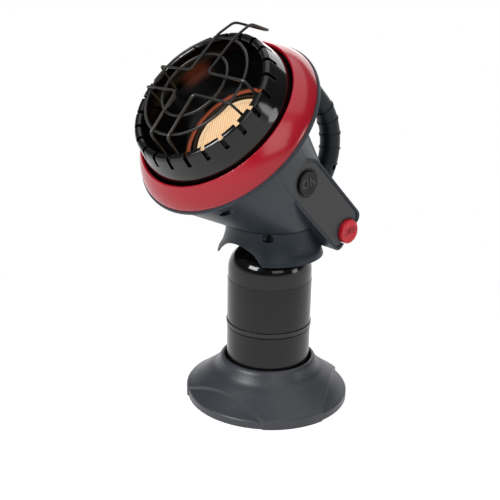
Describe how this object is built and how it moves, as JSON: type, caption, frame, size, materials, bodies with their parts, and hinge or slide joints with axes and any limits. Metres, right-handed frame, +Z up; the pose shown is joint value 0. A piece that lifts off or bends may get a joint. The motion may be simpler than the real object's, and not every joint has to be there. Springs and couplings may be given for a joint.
{
  "type": "portable propane heater",
  "caption": "Portable gas heater: a tilted dish burner with a wire guard, push buttons and a rear handle, screwed on a small upright gas cylinder that stands in a round foot.",
  "frame": {"origin": "on the ground, on the shared axis of the foot and the gas cylinder", "axes": "+Z up along the cylinder, -Y the way the dish faces, +X the side of the arm with the buttons"},
  "size_m": [0.216, 0.2667, 0.4317],
  "materials": {
    "slate_plastic": "fine-grained matte moulding",
    "red_plastic": "glossy",
    "black_enamel": "glossy heat-proof enamel",
    "guard_finish": "satin dark coating on round wire",
    "cylinder_paint": "glossy black paint",
    "wrap_film": "dark grey printed wrap, here without any print",
    "brass": "machined",
    "valve_core_brass": "machined",
    "black_rubber": "matte",
    "cast_zinc": "cast",
    "plain_steel": "plain sheet or wire",
    "screw_steel": "zinc plated",
    "tube_metal": "drawn tube",
    "black_button": "satin",
    "red_button": "satin",
    "igniter_plastic": "matte",
    "lead_cover": "silicone sleeve",
    "electrode_ceramic": "glazed",
    "probe_metal": "drawn",
    "switch_plastic": "matte",
    "burner_ceramic": "porous, glowing in use",
    "gasket_fibre": "fibrous, matte"
  },
  "bodies": {
    "foot": {"foot": "slate_plastic"},
    "cylinder": {"cylinder_lower_shell": "cylinder_paint", "cylinder_upper_shell": "cylinder_paint", "cylinder_label": "wrap_film", "cylinder_valve_boss": "brass", "cylinder_valve_core": "valve_core_brass", "cylinder_relief_valve": "brass"},
    "washer": {"seal_washer": "black_rubber"},
    "head": {"housing_left": "slate_plastic", "housing_right": "slate_plastic", "neck_skirt": "slate_plastic", "handle_left": "slate_plastic", "handle_right": "slate_plastic", "red_bezel": "red_plastic", "slotted_rim": "black_enamel", "reflector_bowl": "black_enamel", "guard_wire": "guard_finish", "guard_rings": "guard_finish", "inlet_fitting": "brass", "gas_orifice": "brass", "valve_body": "brass", "regulator_diaphragm": "black_rubber", "regulator_body": "cast_zinc", "regulator_cover": "cast_zinc", "heat_shield": "plain_steel", "burner_plenum": "plain_steel", "mixer_tube": "plain_steel", "on_spring": "plain_steel", "off_spring": "plain_steel", "pilot_burner": "plain_steel", "bezel_screws": "screw_steel", "rim_screws": "screw_steel", "housing_screws": "screw_steel", "skirt_screws": "screw_steel", "handle_screws": "screw_steel", "gas_tube": "tube_metal", "piezo_igniter": "igniter_plastic", "igniter_lead": "lead_cover", "spark_electrode": "electrode_ceramic", "thermocouple": "probe_metal", "tip_switch": "switch_plastic", "burner_tile": "burner_ceramic", "tile_gasket": "gasket_fibre"},
    "on_button": {"on_button": "black_button"},
    "off_button": {"off_button": "red_button"}
  },
  "joints": [
    {"name": "cylinder_lift", "type": "slide", "parent": "foot", "child": "cylinder", "axis": [0, 0, 1], "range_m": [0, 0.06]},
    {"name": "head_rise", "type": "slide", "parent": "cylinder", "child": "washer", "axis": [0, 0, 1], "range_m": [0, 0.00636]},
    {"name": "head_unscrew", "type": "hinge", "parent": "washer", "child": "head", "pos_m": [0, 0, 0.2], "axis": [0, 0, 1], "range_deg": [0, 1800]},
    {"name": "on_press", "type": "slide", "parent": "head", "child": "on_button", "axis": [-1, 0, 0], "range_m": [0, 0.004], "stiffness_N_per_m": 900, "springref_m": -0.003, "deforming": ["on_spring"]},
    {"name": "off_press", "type": "slide", "parent": "head", "child": "off_button", "axis": [-1, 0, 0], "range_m": [0, 0.004], "stiffness_N_per_m": 900, "springref_m": -0.003, "deforming": ["off_spring"]}
  ],
  "couplings": [
    {"joint": "head_rise", "follows": "head_unscrew", "m_per_rad": 0.00020213}
  ]
}
